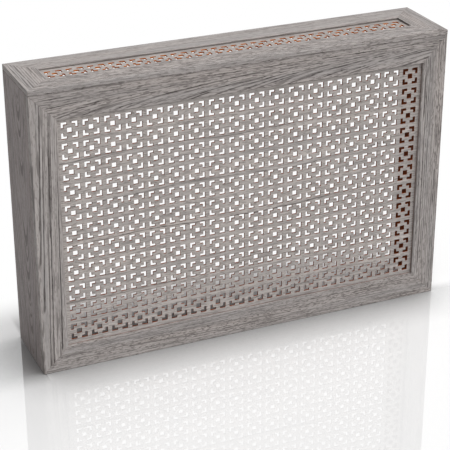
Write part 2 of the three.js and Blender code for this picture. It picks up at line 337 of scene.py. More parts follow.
@dataclass(frozen=True)
class OakFoil:
    """Printed foil that looks like grey oak, wrapped round the boards."""

    body: Colour = level(163, 158, 156)
    warm: Colour = level(168, 160, 156)
    dark: Colour = level(58, 51, 49)
    roughness: float = 0.56
    gloss: float = 0.25
    relief_depth: float = 0.12 * MM
    row_pitch: float = 5 * MM
    slow: Streaks = Streaks(3.2, 9.0)
    quick: Streaks = Streaks(22.0, 40.0, 3.1)
    fine: Streaks = Streaks(12.0, 250.0, 5.3, detail=2.0, rough=0.6)
    broad: Streaks = Streaks(3.0, 90.0, 6.1)
    bands: Streaks = Streaks(1.6, 42.0, 9.1)
    dashes: Streaks = Streaks(80.0, 420.0, 7.7)
    hairs: Streaks = Streaks(20.0, 1500.0, 11.3, detail=2.0)
    threads: Streaks = Streaks(14.0, 2.4, 13.7)
    ring_swell: Streaks = Streaks(32.0, 3.7, 23.0, detail=2.0)
    stroke_swell: Streaks = Streaks(26.0, 30.0, 31.0)
    slow_wander: float = 2.4
    quick_wander: float = 0.32
    row_wander: float = 0.6
    dash_edge: Range = (0.55, 0.6)
    thread_edge: Range = (0.56, 0.63)
    hair_shade: float = 0.3
    pale_shade: float = 0.12
    plain_fade: float = 12 * MM
    beyond_fade: float = 4 * MM

    def material(self, name: str, grain: Grain) -> Material:
        """The foil with one board's figure.

        Args:
            name: Name of the material.
            grain: The figure.

        Returns:
            The material.
        """
        finish = BoardFinish(name, grain.seed)
        along, across = finish.along, finish.across
        slow, quick = (finish.streaks(kind, across) - 0.5 for kind in (self.slow, self.quick))
        wander = slow * (self.slow_wander * grain.wander) + quick * (self.quick_wander * grain.wander)
        row = across + wander * self.row_wander
        layers = (self.fine, self.broad, self.bands)
        fine, broad, bands = (finish.streaks(kind, row) - 0.5 for kind in layers)
        dashes = finish.streaks(self.dashes, row, grain.pore_size).ramp(*self.dash_edge)
        hairs = finish.streaks(self.hairs, across) - 0.5

        rings = grain.rings
        side = across + wander - rings.axis
        reach = side.absolute()
        radius = (side * side + rings.depth * rings.depth).sqrt()
        crowd = (reach / rings.gather) ** 3
        course = radius + reach * crowd - along * rings.taper
        turns = course / rings.spacing
        widening = 1.0 / (reach / radius + crowd * 4.0).largest(0.3)
        threads = finish.streaks(self.threads, turns).ramp(*self.thread_edge)
        shown = rings.strength * (1.0 - side.ramp(0.0, self.beyond_fade) * (1.0 - rings.beyond))
        lines = self._ring_lines(finish, turns, widening, grain) * shown
        if rings.plain < 1.0:
            far = reach.ramp(rings.plain - self.plain_fade, rings.plain)
            level_lines = self._ring_lines(finish, row / self.row_pitch, None, grain) * rings.strength
            lines = lines * (1.0 - far) + level_lines * far
        dark, pale = self._stroke_lines(finish, course, widening, grain)

        pores = (dashes * grain.pores * (bands * 2.0 + 0.8).clamped()).largest(threads * grain.threads)
        lines = lines.largest(dark).clamped() * (1.0 - (1.0 - dashes) * (grain.ragged * 0.5))
        depth = 1.0 - (1.0 - lines) * (1.0 - pores)
        body = finish.mix((bands * 2.0 + 0.5).clamped(), self.body, self.warm)
        shade = fine * grain.fine + broad * grain.broad + bands * grain.bands
        shade = shade + hairs * self.hair_shade + pale * self.pale_shade + 1.0
        height = 1.0 - (dashes * 0.5 + hairs * 0.4 + 0.2).clamped()
        return finish.close(
            Base_Color=finish.mix(depth, finish.scaled(body, shade * grain.tone), self.dark),
            Roughness=(depth * 0.22 + hairs * 0.1 + self.roughness).clamped(),
            Specular_IOR_Level=self.gloss,
            Normal=finish.relief(height, self.relief_depth, 0.6),
        )

    def _ring_lines(
        self, finish: BoardFinish, turns: Socket, widening: Optional[Socket], grain: Grain
    ) -> Socket:
        """The dark, porous wood where each ring starts.

        Args:
            finish: The material that gets the nodes.
            turns: Number of rings up to here.
            widening: How much further apart the rings are here than in the log; None if as far everywhere.
            grain: The figure.

        Returns:
            How dark it is, from 0 to 1.
        """
        number = turns.floor()
        one = {"noise_dimensions": "1D"}
        chance = finish.add("ShaderNodeTexWhiteNoise", one, {"W": number + grain.seed})
        swell = finish.streaks(self.ring_swell, number).ramp(0.4, 0.56)
        since = turns - number
        if widening is not None:
            since = since * widening.largest(1.0)
        porous = (1.6 - since * 3.0).clamped()
        return porous * (chance**grain.rings.bold * 0.8 + 0.2) * (swell * 0.85 + 0.15)

    def _stroke_lines(
        self, finish: BoardFinish, course: Socket, widening: Socket, grain: Grain
    ) -> tuple[Value, Value]:
        """The bold lines, and the pale wood beside them.

        Args:
            finish: The material that gets the nodes.
            course: The number that stays the same along a ring.
            widening: How much further apart the rings are here than in the log.
            grain: The figure.

        Returns:
            How dark and how pale it is, each from 0 to 1.
        """
        dark: Value = 0.0
        pale: Value = 0.0
        if not grain.strokes:
            return dark, pale
        swell = finish.streaks(self.stroke_swell, course).ramp(0.3, 0.55)
        broken = 1.0 - (1.0 - swell) * grain.ragged
        for stroke in grain.strokes:
            start, end = stroke.along, stroke.along + stroke.length
            begun = finish.along.ramp(start - 4 * MM, start + 6 * MM)
            shown = begun * (1.0 - finish.along.ramp(end - stroke.length * 0.45, end))
            off = (course - grain.rings.course(start, stroke.across)) * widening / (stroke.width / 2)
            core = (1.6 - off.absolute() * 1.5).clamped() * shown * broken
            beside = (1.0 - (off - 2.6).absolute() * 0.8).clamped() * shown
            dark = (core * stroke.strength).largest(dark)
            pale = (beside * stroke.strength).largest(pale)
        return dark, pale


@dataclass(frozen=True)
class RawFibre:
    """Bare fibreboard: warm brown, matt, with fine pale and dark fibres."""

    body: Colour
    dark: Colour
    pale: Colour = level(196, 122, 72)
    roughness: float = 0.82
    gloss: float = 0.12
    fluff_scale: float = 900.0
    patch_scale: float = 60.0
    fleck_scale: float = 2200.0

    def material(self, name: str) -> Material:
        """The bare board.

        Args:
            name: Name of the material.

        Returns:
            The material.
        """
        finish = Finish(name)
        place = finish.place()
        fluff = finish.noise(place, 3.0, self.fluff_scale, 0.6)
        patches = finish.noise(place, 2.0, self.patch_scale)
        flecks = finish.noise(place, 1.0, self.fleck_scale).ramp(0.62, 0.74)
        colour = finish.mix(patches.ramp(0.3, 0.7), self.dark, self.body)
        colour = finish.mix((fluff - 0.35).clamped() * 0.9, colour, self.pale)
        return finish.close(
            Base_Color=finish.mix(flecks * 0.55, colour, self.dark),
            Roughness=(fluff * 0.12 + self.roughness).clamped(),
            Specular_IOR_Level=self.gloss,
            Normal=finish.relief(fluff, 0.08 * MM, 0.6),
        )


@dataclass(frozen=True)
class ZincPlate:
    """Zinc on steel: bright, a little cloudy, with fine scratches."""

    body: Colour = level(196, 199, 203)
    cloud: Colour = level(168, 173, 180)
    roughness: float = 0.18
    cloud_scale: float = 160.0
    scratch_scale: tuple[float, float, float] = (260.0, 3200.0, 900.0)

    def material(self, name: str) -> Material:
        """The plated steel.

        Args:
            name: Name of the material.

        Returns:
            The material.
        """
        finish = Finish(name)
        place = finish.place()
        clouds = finish.noise(place, 3.0, self.cloud_scale)
        stretched = finish.add("ShaderNodeMapping", None, {"Vector": place, "Scale": self.scratch_scale})
        scratches = finish.noise(stretched, 2.0)
        return finish.close(
            Base_Color=finish.mix(clouds.ramp(0.35, 0.65), self.cloud, self.body),
            Metallic=1.0,
            Roughness=(clouds * 0.22 + scratches * 0.12 + self.roughness).clamped(),
            Normal=finish.relief(scratches, 0.02 * MM, 0.4),
        )


@dataclass(frozen=True)
class Plywood:
    """Birch plywood seen on its edges: thin pale and brown layers."""

    pale: Colour = level(205, 172, 124)
    dark: Colour = level(148, 108, 68)
    layer: float = 0.75 * MM
    drift_scale: float = 180.0
    fibres_along: float = 120.0
    fibres_across: float = 1400.0

    def material(self, name: str) -> Material:
        """The plywood.

        Args:
            name: Name of the material.

        Returns:
            The material.
        """
        finish = Finish(name)
        place = finish.place()
        x, y, z = finish.parts(place)
        depth = (y + z) / self.layer + finish.noise(place, 2.0, self.drift_scale)
        layers = depth.math("PINGPONG", depth, 1.0).ramp(0.3, 0.7)
        across = self.fibres_across
        fibres = finish.noise(finish.vector(x * self.fibres_along, y * across, z * across), 2.0)
        return finish.close(
            Base_Color=finish.scaled(finish.mix(layers, self.pale, self.dark), fibres * 0.4 + 0.8),
            Roughness=(fibres * 0.2 + 0.62).clamped(),
            Normal=finish.relief(fibres, 0.05 * MM, 0.5),
        )


# --- Mesh building ---


class Skin(Enum):
    """What covers a face of a board, in the order of the piece's material slots."""

    FOIL = 0
    FIBRE = 1
    BACK = 2


@dataclass(frozen=True)
class Corner:
    """A corner of a board's section, with the skin of the side that follows it."""

    across: float
    back: float
    radius: float
    skin: Skin


def unit(first: Point, second: Point) -> Point:
    """The direction from one point to another."""
    x, y = second[0] - first[0], second[1] - first[1]
    return x / math.hypot(x, y), y / math.hypot(x, y)


def rectangle(x: float, y: float) -> list[Point]:
    """The corners of a rectangle round the origin, anticlockwise, from half its two sides."""
    return [(-x, -y), (x, -y), (x, y), (-x, y)]


def circle(radii: Sequence[float]) -> list[Point]:
    """Points round the origin at equal turns, one at each of the radii."""
    turns = [2 * math.pi * i / len(radii) for i in range(len(radii))]
    return [(radius * math.cos(turn), radius * math.sin(turn)) for radius, turn in zip(radii, turns)]


def eased(before: Point, corner: Point, after: Point, radius: float, steps: int) -> list[Point]:
    """The points of a rounded corner.

    Args:
        before: The outline's corner before this one.
        corner: This corner.
        after: The corner after it.
        radius: Radius of the rounding; 0 leaves it sharp.
        steps: Flats in the rounding.

    Returns:
        The points from one end of the rounding to the other.
    """
    if radius <= 0:
        return [corner]
    (fx, fy), (tx, ty) = unit(before, corner), unit(corner, after)
    points = []
    for i in range(steps + 1):
        angle = math.pi / 2 * i / steps
        short, gone = radius * (1 - math.sin(angle)), radius * (1 - math.cos(angle))
        points.append((corner[0] - fx * short + tx * gone, corner[1] - fy * short + ty * gone))
    return points


def grown(outline: Sequence[Point], by: float) -> list[Point]:
    """An outline with each side moved to its right as it runs, which is outwards if that is anticlockwise.

    Args:
        outline: The points, in order.
        by: How far each side moves.

    Returns:
        The new points.
    """
    points = []
    for i, here in enumerate(outline):
        ax, ay = unit(outline[i - 1], here)
        bx, by_ = unit(here, outline[(i + 1) % len(outline)])
        nx, ny = ay + by_, -ax - bx
        reach = by * 2 / (nx * nx + ny * ny)
        points.append((here[0] + nx * reach, here[1] + ny * reach))
    return points


class Draft:
    """A mesh in the making."""

    def __init__(self) -> None:
        """Starts with nothing."""
        self.shape = bmesh.new()

    def points(self, places: Iterable[Sequence[float]]) -> list[Vert]:
        """Adds points."""
        return [self.shape.verts.new(place) for place in places]

    def ring(self, outline: Iterable[Point], height: float) -> list[Vert]:
        """Adds the points of an outline at one height."""
        return self.points((x, y, height) for x, y in outline)

    def closed(self, verts: list[Vert]) -> list[Edge]:
        """Joins points in a closed line."""
        return [self.shape.edges.new(pair) for pair in zip(verts, verts[1:] + verts[:1])]

    def band(
        self, upper: list[Vert], lower: list[Vert], skin: Skin = Skin.FOIL
    ) -> list[Face]:
        """Fills the band between two closed lines that have as many points.

        Args:
            upper: The points of one line.
            lower: The points of the other.
            skin: What covers it.

        Returns:
            The faces, each from a point of the upper line to the next and back along the lower.
        """
        made = []
        for i, vert in enumerate(upper):
            j = (i + 1) % len(upper)
            made.append(self.shape.faces.new((vert, upper[j], lower[j], lower[i])))
            made[-1].material_index = skin.value
        return made

    def plain(self, corners: Sequence[Sequence[float]], skin: Skin) -> None:
        """Adds a face of its own, covered by a skin."""
        self.shape.faces.new(self.points(corners)).material_index = skin.value

    def turned_out(self) -> "Draft":
        """Turns every face outwards."""
        bmesh.ops.recalc_face_normals(self.shape, faces=self.shape.faces)
        return self

    def finished(self, name: str) -> Mesh:
        """The mesh of a draft, which ends here.

        Args:
            name: Its name.

        Returns:
            The mesh.
        """
        mesh = bpy.data.meshes.new(name)
        self.shape.to_mesh(mesh)
        self.shape.free()
        return mesh


@dataclass(frozen=True)
class Placement:
    """Where a board lies: the corner of its face, and the directions of its length, width and face."""

    corner: Vector
    along: Vector
    across: Vector
    facing: Vector

    def point(self, along: float, across: float, back: float) -> Vector:
        """A point of the board, by its distances along it, across it and back from its face."""
        return self.corner + self.along * along + self.across * across - self.facing * back


def linked(name: str, data: Optional[bpy.types.ID]) -> Item:
    """A new object in the scene.

    Args:
        name: Its name.
        data: Its mesh, camera or light.

    Returns:
        The object.
    """
    item = bpy.data.objects.new(name, data)
    bpy.context.scene.collection.objects.link(item)
    return item


def modify(piece: Item, kind: str, **settings: Any) -> None:
    """Gives a piece a modifier.

    Args:
        piece: The piece.
        kind: The modifier's type.
        **settings: Its settings.
    """
    modifier = piece.modifiers.new(kind.lower(), kind)
    for name, value in settings.items():
        setattr(modifier, name, value)


def applied(piece: Item) -> None:
    """Makes the result of a piece's modifiers its mesh.

    Args:
        piece: The piece.
    """
    bpy.context.view_layer.update()
    shape = piece.evaluated_get(bpy.context.evaluated_depsgraph_get())
    old, name = piece.data, piece.data.name
    piece.data = bpy.data.meshes.new_from_object(shape)
    piece.modifiers.clear()
    bpy.data.meshes.remove(old)
    piece.data.name = name


def cut(piece: Item, cutters: Sequence[Item], **settings: Any) -> None:
    """Takes the room of other objects out of a piece, and removes them.

    Args:
        piece: The piece.
        cutters: The objects.
        **settings: Further settings of the modifier.
    """
    for cutter in cutters:
        modify(piece, "BOOLEAN", operation="DIFFERENCE", solver="EXACT", object=cutter, **settings)
    if cutters:
        applied(piece)
    for cutter in cutters:
        mesh = cutter.data
        bpy.data.objects.remove(cutter)
        bpy.data.meshes.remove(mesh)


def soften(piece: Item, angle: float = 32.0) -> None:
    """Smooth shading that keeps flat faces flat and edges sharper than an angle sharp.

    Args:
        piece: The piece.
        angle: The angle, in degrees.
    """
    piece.data.polygons.foreach_set("use_smooth", [True] * len(piece.data.polygons))
    piece.data.set_sharp_from_angle(angle=math.radians(angle))
    modify(piece, "WEIGHTED_NORMAL", keep_sharp=True, weight=80)


class Assembly:
    """Pieces of the cabinet that belong together."""

    def make(
        self,
        node: str,
        suffix: str,
        mesh: Mesh,
        materials: Sequence[Material],
        slot: str,
    ) -> Item:
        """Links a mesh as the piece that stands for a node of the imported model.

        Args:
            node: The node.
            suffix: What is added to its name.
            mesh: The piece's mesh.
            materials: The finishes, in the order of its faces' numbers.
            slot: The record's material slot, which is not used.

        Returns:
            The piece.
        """
        mesh.name = f"{node}_{suffix}"
        piece = linked(mesh.name, mesh)
        for material in materials:
            mesh.materials.append(material)
        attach(piece, BODY)
        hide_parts(node)
        log.info("%s: %d faces, for %s", piece.name, len(mesh.polygons), node)
        return piece


@dataclass(frozen=True)
class Joinery:
    """The hidden room in the boards for the mitre tongues and for the screws."""

    clearance: float = 0.3 * MM
    weld: float = 0.001 * MM

    def fit(self, piece: Item, node: str) -> None:
        """Takes the room out of a board.

        Args:
            piece: The board.
            node: The node that it stands for.
        """
        low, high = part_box(node)
        cutters = []
        for name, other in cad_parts.items():
            if "_tongue_" not in name and "_screw_" not in name:
                continue
            start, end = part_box(name)
            if all(start[i] < high[i] and end[i] > low[i] for i in range(3)):
                cutters.append(self._swollen(other.data))
        cut(piece, cutters)

    def _swollen(self, source: Mesh) -> Item:
        """A copy of a mesh that is larger by the clearance all round.

        Args:
            source: The mesh.

        Returns:
            The copy, as an object that can cut.
        """
        draft = Draft()
        draft.shape.from_mesh(source)
        verts = draft.shape.verts
        bmesh.ops.remove_doubles(draft.shape, verts=verts, dist=self.weld)
        draft.turned_out()
        moves = [vert.normal * (vert.calc_shell_factor() * self.clearance) for vert in verts]
        for vert, move in zip(verts, moves):
            vert.co += move
        return linked("room", draft.finished("room"))


class BoardMaker:
    """Makes boards by running a section along them. A girth is a distance round it from its face's edge."""

    EASED_STEPS = 5

    def __init__(self, corners: Sequence[Corner], arris: float) -> None:
        """Works the section out.

        Args:
            corners: The section's corners, starting on the back, with the face's outer corner third.
            arris: How much is taken off round a board's ends.
        """
        self.arris = arris
        self.outer: list[Point] = []
        self.skins: list[Skin] = []
        places = [(corner.across, corner.back) for corner in corners]
        for i, corner in enumerate(corners):
            after = places[(i + 1) % len(places)]
            rounding = eased(places[i - 1], places[i], after, corner.radius, self.EASED_STEPS)
            self.outer += rounding
            self.skins += [corner.skin] * len(rounding)
        self.inner = grown(self.outer, -arris)
        girths = [0.0]
        for (x0, y0), (x1, y1) in zip(self.outer, self.outer[1:] + self.outer[:1]):
            girths.append(girths[-1] + math.hypot(x1 - x0, y1 - y0))
        face_start = next(i for i, (x, y) in enumerate(self.outer) if y == 0 and x > 0 or (x, y) == (0, 0))
        shift = self.outer[face_start][0] - girths[face_start]
        self.girths = [girth + shift for girth in girths]

    def board(
        self,
        place: Placement,
        start: Callable[[float], float],
        end: Callable[[float], float],
        ends: Skin = Skin.FIBRE,
    ) -> Mesh:
        """One board.

        Args:
            place: Where it lies.
            start: Where it begins, by the distance across it.
            end: Where it ends, by the distance across it.
            ends: What covers the ends.

        Returns:
            Its mesh, with the map of the grain.
        """
        draft = Draft()
        grain = draft.shape.loops.layers.uv.new(GRAIN_MAP)
        stations = ((self.inner, start, 0.0), (self.outer, start, self.arris))
        stations += ((self.outer, end, -self.arris), (self.inner, end, 0.0))
        rings = []
        for outline, reach, inset in stations:
            lengths = [reach(across) + inset for across, _ in outline]
            places = (place.point(length, *spot) for length, spot in zip(lengths, outline))
            rings.append((draft.points(places), lengths))
        girths = self.girths
        for (verts_a, lengths_a), (verts_b, lengths_b) in zip(rings, rings[1:]):
            for i, face in enumerate(draft.band(verts_a, verts_b)):
                j = (i + 1) % len(self.outer)
                face.material_index = self.skins[i].value
                marks = zip(
                    (lengths_a[i], lengths_a[j], lengths_b[j], lengths_b[i]),
                    (girths[i], girths[i + 1], girths[i + 1], girths[i]),
                )
                for loop, mark in zip(face.loops, marks):
                    loop[grain].uv = mark
        for verts, lengths in (rings[0], rings[-1]):
            face = draft.shape.faces.new(verts)
            face.material_index = ends.value
            for loop, length, girth in zip(face.loops, lengths, girths):
                loop[grain].uv = (length, girth)
        return draft.turned_out().finished("board")


# --- Perforated sheets ---


@dataclass
class PerforatedSheet(Assembly):
    """A thin fibre sheet with foil on its face, punched in cells of a square and four angle slots."""

    node: str
    centre: Vector
    right: Vector
    up: Vector
    facing: Vector
    opening: Point
    finishes: tuple[Material, Material, Material]
    thickness: float
    in_groove: float
    pitch: float = 43.5 * MM
    square: float = 10 * MM
    slot_outer: float = 17 * MM
    slot_width: float = 5 * MM
    slot_end: float = 5 * MM
    punch_radius: float = 0.5 * MM
    punch_steps: int = 2
    roll: float = 0.3 * MM
    weld: float = 0.002 * MM

    def holes(self) -> list[list[Point]]:
        """The outlines of one cell's holes, anticlockwise, with the punch's small corner radius.

        Returns:
            The square's outline and those of the four slots.
        """
        outer, end = self.slot_outer, self.slot_end
        inner = outer - self.slot_width
        shapes = [rectangle(self.square / 2, self.square / 2)]
        slot = [(end, inner), (inner, inner), (inner, end), (outer, end), (outer, outer), (end, outer)]
        for quarter in range(4):
            turn = Matrix.Rotation(math.pi / 2 * quarter, 2)
            shapes.append([tuple(turn @ Vector(point)) for point in slot])
        rounded = []
        for shape in shapes:
            points: list[Point] = []
            for i, corner in enumerate(shape):
                after = shape[(i + 1) % len(shape)]
                points += eased(shape[i - 1], corner, after, self.punch_radius, self.punch_steps)
            rounded.append(points)
        return rounded

    @staticmethod
    def fill(draft: Draft, edges: list[Edge], skin: Skin, towards: int) -> None:
        """Fills the flat between closed lines.

        Args:
            draft: The mesh that gets the faces.
            edges: The edges of the lines.
            skin: What covers it.
            towards: 1 if it faces up, -1 if it faces down.
        """
        made = bmesh.ops.triangle_fill(draft.shape, use_beauty=True, edges=edges, normal=(0, 0, towards))
        for face in made["geom"]:
            if isinstance(face, Face):
                face.material_index = skin.value
                if face.normal.z * towards < 0:
                    face.normal_flip()

    def cell(self) -> tuple[list[Vector], list[tuple[tuple[int, ...], int]]]:
        """One cell of the sheet, centred on the origin with its face at height 0.

        Returns:
            Its vertices, and its faces with the number of their skin.
        """
        draft = Draft()
        square = rectangle(self.pitch / 2, self.pitch / 2)
        front = draft.closed(draft.ring(square, 0))
        back = draft.closed(draft.ring(square, -self.thickness))
        for outline in self.holes():
            lip = draft.ring(grown(outline, self.roll), 0)
            rim = draft.ring(outline, -self.roll)
            foot = draft.ring(outline, -self.thickness)
            front += draft.closed(lip)
            back += draft.closed(foot)
            draft.band(lip, rim, Skin.FIBRE)
            draft.band(rim, foot, Skin.FIBRE)
        self.fill(draft, front, Skin.FOIL, 1)
        self.fill(draft, back, Skin.BACK, -1)
        draft.shape.verts.index_update()
        verts = [vert.co.copy() for vert in draft.shape.verts]
        faces = [(tuple(v.index for v in face.verts), face.material_index) for face in draft.shape.faces]
        draft.shape.free()
        return verts, faces

    def lines(self, opening: float) -> list[float]:
        """The edges of the cells across an opening of the frame, between the sheet's own two edges."""
        count, edge = math.floor(opening / self.pitch), opening / 2 + self.in_groove
        return [-edge, *((i - count / 2) * self.pitch for i in range(count + 1)), edge]

    def mesh(self) -> Mesh:
        """The whole sheet in its place, with the map of the grain.

        Returns:
            The mesh.
        """
        columns, rows = self.lines(self.opening[0]), self.lines(self.opening[1])
        low = -self.thickness
        cell_verts, cell_faces = self.cell()
        draft = Draft()
        for i, (x0, x1) in enumerate(zip(columns, columns[1:])):
            for j, (y0, y1) in enumerate(zip(rows, rows[1:])):
                if 0 < i < len(columns) - 2 and 0 < j < len(rows) - 2:
                    x, y = (x0 + x1) / 2, (y0 + y1) / 2
                    verts = draft.points((v.x + x, v.y + y, v.z) for v in cell_verts)
                    for face, skin in cell_faces:
                        draft.shape.faces.new([verts[n] for n in face]).material_index = skin
                    continue
                draft.plain(((x0, y0, 0), (x1, y0, 0), (x1, y1, 0), (x0, y1, 0)), Skin.FOIL)
                draft.plain(((x0, y0, low), (x0, y1, low), (x1, y1, low), (x1, y0, low)), Skin.BACK)
        for x0, x1 in zip(columns, columns[1:]):
            for y in (rows[0], rows[-1]):
                draft.plain(((x0, y, 0), (x1, y, 0), (x1, y, low), (x0, y, low)), Skin.FIBRE)
        for y0, y1 in zip(rows, rows[1:]):
            for x in (columns[0], columns[-1]):
                draft.plain(((x, y0, 0), (x, y1, 0), (x, y1, low), (x, y0, low)), Skin.FIBRE)
        bmesh.ops.remove_doubles(draft.shape, verts=draft.shape.verts, dist=self.weld)
        draft.turned_out()
        grain = draft.shape.loops.layers.uv.new(GRAIN_MAP)
        for face in draft.shape.faces:
            for loop in face.loops:
                loop[grain].uv = (loop.vert.co.x - columns[0], loop.vert.co.y - rows[0])
        for vert in draft.shape.verts:
            x, y, z = vert.co
            vert.co = self.centre + self.right * x + self.up * y + self.facing * z
        return draft.finished("sheet")

    def build(self) -> None:
        """Makes and dresses the sheet."""
        self.make(self.node, "panel", self.mesh(), self.finishes, "fibre_sheet")


# --- Mitred frames ---


@dataclass
class MitredFrame(Assembly):
    """Four grooved bars, mitred at the corners, round a perforated sheet."""

    name: str
    origin: Vector
    up: Vector
    facing: Vector
    width: float
    height: float
    bar: float
    thickness: float
    recess: float
    bars: dict[str, Grain]
    sheet_grain: Grain
    foil: OakFoil
    sheet_foil: OakFoil
    fibre: Material
    sheet_edge: Material
    sheet_back: Material
    right: Vector = RIGHT
    joinery: Joinery = Joinery()
    edge_radius: float = 1 * MM
    back_radius: float = 0.4 * MM
    arris: float = 0.15 * MM
    sheet_thickness: float = 3 * MM
    in_groove: float = 7.7 * MM
    clearance: float = 0.3 * MM
    glue_line: float = 0.12 * MM
    foil_return: float = 6 * MM
    bare_lip: float = 1 * MM

    def section(self) -> list[Corner]:
        """The bar's section, from the edge of the foil on its back round the outer edge and the face.

        Returns:
            The corners.
        """
        bar, back, ease = self.bar, self.thickness, self.edge_radius
        groove_face = self.recess - self.clearance
        groove_back = self.recess + self.sheet_thickness + self.clearance
        groove_end = bar - self.in_groove - self.clearance
        return [
            Corner(self.foil_return, back, 0, Skin.FOIL),
            Corner(0, back, ease, Skin.FOIL),
            Corner(0, 0, ease, Skin.FOIL),
            Corner(bar, 0, ease, Skin.FOIL),
            *([Corner(bar, groove_face - self.bare_lip, 0, Skin.FIBRE)] if self.bare_lip else []),
            Corner(bar, groove_face, 0, Skin.FIBRE),
            Corner(groove_end, groove_face, 0, Skin.FIBRE),
            Corner(groove_end, groove_back, 0, Skin.FIBRE),
            Corner(bar, groove_back, 0, Skin.FIBRE),
            Corner(bar, back, self.back_radius, Skin.FIBRE),
        ]

    def placements(self) -> dict[str, tuple[Placement, float]]:
        """Where the four bars lie, and how long they are.

        Returns:
            The placement and the length by the bar's node.
        """
        right, up, facing = self.right, self.up, self.facing
        far_side, far_end = self.origin + up * self.height, self.origin + right * self.width
        places = (
            (Placement(self.origin, right, up, facing), self.width),
            (Placement(far_side, right, -up, facing), self.width),
            (Placement(self.origin, up, right, facing), self.height),
            (Placement(far_end, up, -right, facing), self.height),
        )
        return dict(zip(self.bars, places))

    def build(self) -> None:
        """Makes and dresses the bars and the sheet."""
        maker = BoardMaker(self.section(), self.arris)
        gap = self.glue_line / 2 * math.sqrt(2)
        for node, (place, length) in self.placements().items():
            mesh = maker.board(place, lambda across: across + gap, lambda across: length - across - gap)
            foil = self.foil.material(f"{node}_foil", self.bars[node])
            piece = self.make(node, "board", mesh, [foil, self.fibre], "wrapped_board")
            self.joinery.fit(piece, node)
            soften(piece)
        face = self.sheet_foil.material(f"{self.name}_sheet_foil", self.sheet_grain)
        middle = self.right * (self.width / 2) + self.up * (self.height / 2)
        PerforatedSheet(
            node=f"{self.name}_perforated_sheet",
            centre=self.origin + middle - self.facing * self.recess,
            right=self.right,
            up=self.up,
            facing=self.facing,
            opening=(self.width - 2 * self.bar, self.height - 2 * self.bar),
            finishes=(face, self.sheet_edge, self.sheet_back),
            thickness=self.sheet_thickness,
            in_groove=self.in_groove,
        ).build()


# --- Side boards ---


@dataclass
class SideBoards(Assembly):
    """The two plain boards, foil outside and on the edges, bare fibre inside."""

    grains: dict[str, Grain]
    foil: OakFoil
    fibre: Material
    joinery: Joinery = Joinery()
    edge_radius: float = 1 * MM
    arris: float = 0.15 * MM
    foil_return: float = 8 * MM

    def build(self) -> None:
        """Makes and dresses the boards."""
        ease = self.edge_radius
        for node, grain in self.grains.items():
            low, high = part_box(node)
            thickness, depth, height = high - low
            section = [
                Corner(self.foil_return, thickness, 0, Skin.FOIL),
                Corner(0, thickness, ease, Skin.FOIL),
                Corner(0, 0, ease, Skin.FOIL),
                Corner(depth, 0, ease, Skin.FOIL),
                Corner(depth, thickness, ease, Skin.FOIL),
                Corner(depth - self.foil_return, thickness, 0, Skin.FIBRE),
            ]
            out, outer_face = (-RIGHT, low.x) if low.x < 0 else (RIGHT, high.x)
            place = Placement(Vector((outer_face, low.y, low.z)), UP, BACK, out)
            maker = BoardMaker(section, self.arris)
            mesh = maker.board(place, lambda _: 0.0, lambda _: height, Skin.FOIL)
            foil = self.foil.material(f"{node}_foil", grain)
            piece = self.make(node, "board", mesh, [foil, self.fibre], "wrapped_board")
            self.joinery.fit(piece, node)
            soften(piece)


# --- Brackets and screws ---


class Leg(Enum):
    """The two legs of an angle bracket, with the last letter of the name of the screw in each."""

    LYING = "a"
    STANDING = "b"


